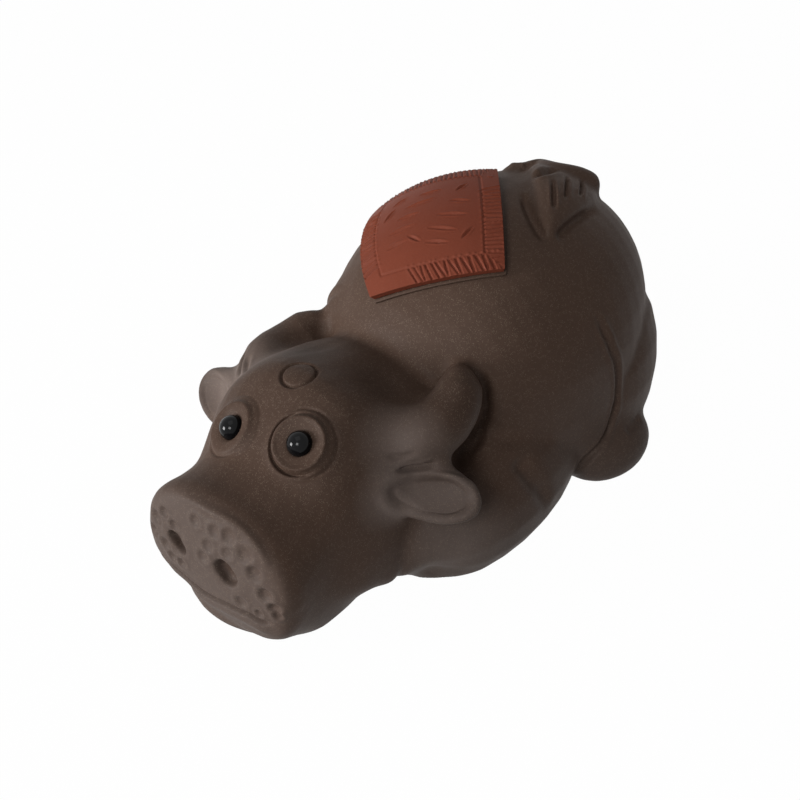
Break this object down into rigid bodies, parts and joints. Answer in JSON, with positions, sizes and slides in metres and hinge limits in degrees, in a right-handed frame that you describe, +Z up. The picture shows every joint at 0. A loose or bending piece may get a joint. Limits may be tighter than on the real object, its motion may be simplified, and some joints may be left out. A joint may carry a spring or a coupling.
{
  "type": "tea pet",
  "caption": "Hollow clay tea pet shaped as a resting ox, with a red saddle blanket on its back and glass bead eyes; sits on a tea tray as an ornament.",
  "frame": {"origin": "on the table, in the middle of the base slab under the trunk", "axes": "+Z up, the ox faces -Y, its left side is +X"},
  "size_m": [0.0706, 0.1223, 0.0591],
  "materials": {
    "dark_clay": "unglazed purple-brown stoneware with fine sand",
    "red_clay": "unglazed red stoneware",
    "black_glass": "polished opaque black glass"
  },
  "bodies": {
    "root": {"trunk_shell": "dark_clay", "base_slab": "dark_clay", "head_shell": "dark_clay", "lower_jaw": "dark_clay", "horn_left": "dark_clay", "horn_right": "dark_clay", "ear_left": "dark_clay", "ear_right": "dark_clay", "eye_disc_left": "dark_clay", "eye_disc_right": "dark_clay", "eye_bead_left": "black_glass", "eye_bead_right": "black_glass", "foreleg_left": "dark_clay", "foreleg_right": "dark_clay", "hind_leg_left": "dark_clay", "hind_leg_right": "dark_clay", "hind_foot_left": "dark_clay", "hind_foot_right": "dark_clay", "tail": "dark_clay", "blanket_underlay": "dark_clay", "saddle_blanket": "red_clay"}
  },
  "joints": []
}
